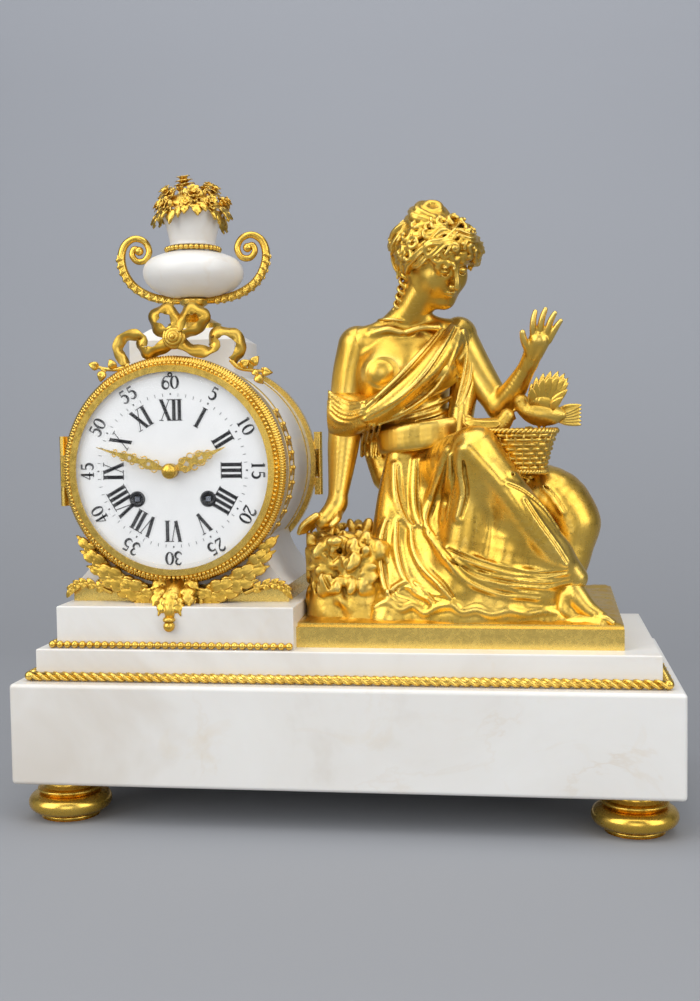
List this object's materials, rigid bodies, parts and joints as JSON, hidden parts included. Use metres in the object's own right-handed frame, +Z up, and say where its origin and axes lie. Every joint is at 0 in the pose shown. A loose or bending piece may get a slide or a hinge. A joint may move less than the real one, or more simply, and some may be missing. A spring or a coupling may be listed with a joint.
{
  "type": "figural mantel clock",
  "caption": "Figural mantel clock: marble base, drum with dial, urn with bouquet above, and a gilt seated figure with doves and a nest basket beside it.",
  "frame": {"origin": "middle of the four feet's ground plane, under the middle of the base", "axes": "+X to the figure's side, +Y to the back, +Z up; the dial faces -Y"},
  "size_m": [0.33, 0.156, 0.333],
  "materials": {
    "marble": "polished white marble with faint warm veins",
    "ormolu": "fire-gilt bronze, burnished and matt by turns",
    "brass": "satin",
    "bell_metal": "turned",
    "steel": "polished",
    "enamel": "white enamel with black numbers",
    "glass": "clear domed glass"
  },
  "bodies": {
    "case": {"acanthus_mount": "ormolu", "back_plate": "brass", "base_slab": "marble", "bead_moulding": "ormolu", "bell": "bell_metal", "bow_mount": "ormolu", "clock_plinth": "marble", "dial": "enamel", "dove": "ormolu", "drum_base_plate": "ormolu", "drum_case": "marble", "drum_saddle": "marble", "feet": "ormolu", "figure_body": "ormolu", "figure_drapery": "ormolu", "figure_foot": "ormolu", "figure_head": "ormolu", "figure_left_arm": "ormolu", "figure_plinth": "ormolu", "figure_right_arm": "ormolu", "fixing_rods": "steel", "front_hinge_pin": "steel", "front_plate": "brass", "front_ring": "ormolu", "nest_basket": "ormolu", "nesting_bird": "ormolu", "plate_pillars": "brass", "rear_hinge_pin": "steel", "rear_ring": "ormolu", "rock": "ormolu", "rope_moulding": "ormolu", "suspension_cock": "brass", "tier_slab": "marble", "urn_bead_ring": "ormolu", "urn_body": "marble", "urn_bouquet": "ormolu", "urn_foot": "ormolu", "urn_handles": "ormolu", "urn_neck": "ormolu", "urn_pedestal": "marble"},
    "front_door": {"front_bezel": "ormolu", "bezel_glass": "glass"},
    "rear_door": {"rear_door": "ormolu"},
    "minute_hand": {"minute_hand": "ormolu"},
    "motion_wheel": {"motion_wheel": "brass"},
    "hour_hand": {"hour_hand": "ormolu"},
    "going_barrel": {"going_barrel": "brass"},
    "going_winding_arbor": {"going_winding_arbor": "steel"},
    "second_wheel": {"second_wheel": "brass"},
    "centre_wheel": {"centre_wheel": "brass"},
    "third_wheel": {"third_wheel": "brass"},
    "escape_wheel": {"escape_wheel": "brass"},
    "anchor": {"anchor": "steel"},
    "pendulum": {"pendulum": "brass"},
    "strike_barrel": {"strike_barrel": "brass"},
    "strike_winding_arbor": {"strike_winding_arbor": "steel"},
    "pin_wheel": {"pin_wheel": "brass"},
    "fly": {"fly": "brass"},
    "hammer": {"hammer": "steel"}
  },
  "joints": [
    {"name": "front_door_hinge", "type": "hinge", "parent": "case", "child": "front_door", "pos_m": [-0.146, -0.0443, 0.1764], "axis": [0, 0, -1], "range_deg": [0, 110]},
    {"name": "rear_door_hinge", "type": "hinge", "parent": "case", "child": "rear_door", "pos_m": [-0.0264, 0.04715, 0.1764], "axis": [0, 0, -1], "range_deg": [0, 110]},
    {"name": "minute_hand_turn", "type": "hinge", "parent": "case", "child": "minute_hand", "pos_m": [-0.0862, -0.0507, 0.1764], "axis": [0, -1, 0], "continuous": true},
    {"name": "motion_wheel_turn", "type": "hinge", "parent": "case", "child": "motion_wheel", "pos_m": [-0.0862, -0.042, 0.1884], "axis": [0, -1, 0], "continuous": true},
    {"name": "hour_hand_turn", "type": "hinge", "parent": "case", "child": "hour_hand", "pos_m": [-0.0862, -0.0507, 0.1764], "axis": [0, -1, 0], "continuous": true},
    {"name": "third_wheel_turn", "type": "hinge", "parent": "case", "child": "third_wheel", "pos_m": [-0.09031, -0.026, 0.18863], "axis": [0, -1, 0], "continuous": true},
    {"name": "centre_wheel_turn", "type": "hinge", "parent": "case", "child": "centre_wheel", "pos_m": [-0.0862, -0.026, 0.1764], "axis": [0, -1, 0], "continuous": true},
    {"name": "second_wheel_turn", "type": "hinge", "parent": "case", "child": "second_wheel", "pos_m": [-0.07194, -0.026, 0.18144], "axis": [0, -1, 0], "continuous": true},
    {"name": "going_barrel_turn", "type": "hinge", "parent": "case", "child": "going_barrel", "pos_m": [-0.0677, -0.026, 0.1621], "axis": [0, -1, 0], "continuous": true},
    {"name": "escape_wheel_turn", "type": "hinge", "parent": "case", "child": "escape_wheel", "pos_m": [-0.0862, -0.026, 0.1979], "axis": [0, -1, 0], "continuous": true},
    {"name": "pin_wheel_turn", "type": "hinge", "parent": "case", "child": "pin_wheel", "pos_m": [-0.10608, -0.026, 0.18185], "axis": [0, -1, 0], "continuous": true},
    {"name": "strike_barrel_turn", "type": "hinge", "parent": "case", "child": "strike_barrel", "pos_m": [-0.1047, -0.026, 0.1621], "axis": [0, -1, 0], "continuous": true},
    {"name": "fly_turn", "type": "hinge", "parent": "case", "child": "fly", "pos_m": [-0.10608, -0.026, 0.19307], "axis": [0, -1, 0], "continuous": true},
    {"name": "going_winding", "type": "hinge", "parent": "case", "child": "going_winding_arbor", "pos_m": [-0.0677, -0.0507, 0.1621], "axis": [0, -1, 0], "continuous": true},
    {"name": "strike_winding", "type": "hinge", "parent": "case", "child": "strike_winding_arbor", "pos_m": [-0.1047, -0.0507, 0.1621], "axis": [0, -1, 0], "continuous": true},
    {"name": "pendulum_swing", "type": "hinge", "parent": "case", "child": "pendulum", "pos_m": [-0.0862, -0.01, 0.2109], "axis": [0, -1, 0], "range_deg": [-4, 4]},
    {"name": "anchor_rock", "type": "hinge", "parent": "case", "child": "anchor", "pos_m": [-0.0862, -0.026, 0.2109], "axis": [0, -1, 0], "range_deg": [-4, 4]},
    {"name": "hammer_lift", "type": "hinge", "parent": "case", "child": "hammer", "pos_m": [-0.0702, -0.01, 0.1964], "axis": [0, -1, 0], "range_deg": [0, 12]}
  ],
  "couplings": [
    {"joint": "motion_wheel_turn", "follows": "minute_hand_turn", "ratio": -0.33333},
    {"joint": "hour_hand_turn", "follows": "minute_hand_turn", "ratio": 0.083333},
    {"joint": "centre_wheel_turn", "follows": "third_wheel_turn", "ratio": -0.075},
    {"joint": "second_wheel_turn", "follows": "third_wheel_turn", "ratio": 0.009375},
    {"joint": "going_barrel_turn", "follows": "third_wheel_turn", "ratio": -0.0011719},
    {"joint": "escape_wheel_turn", "follows": "third_wheel_turn", "ratio": -12},
    {"joint": "strike_barrel_turn", "follows": "pin_wheel_turn", "ratio": -0.125},
    {"joint": "fly_turn", "follows": "pin_wheel_turn", "ratio": -10},
    {"joint": "anchor_rock", "follows": "pendulum_swing", "ratio": 1}
  ]
}
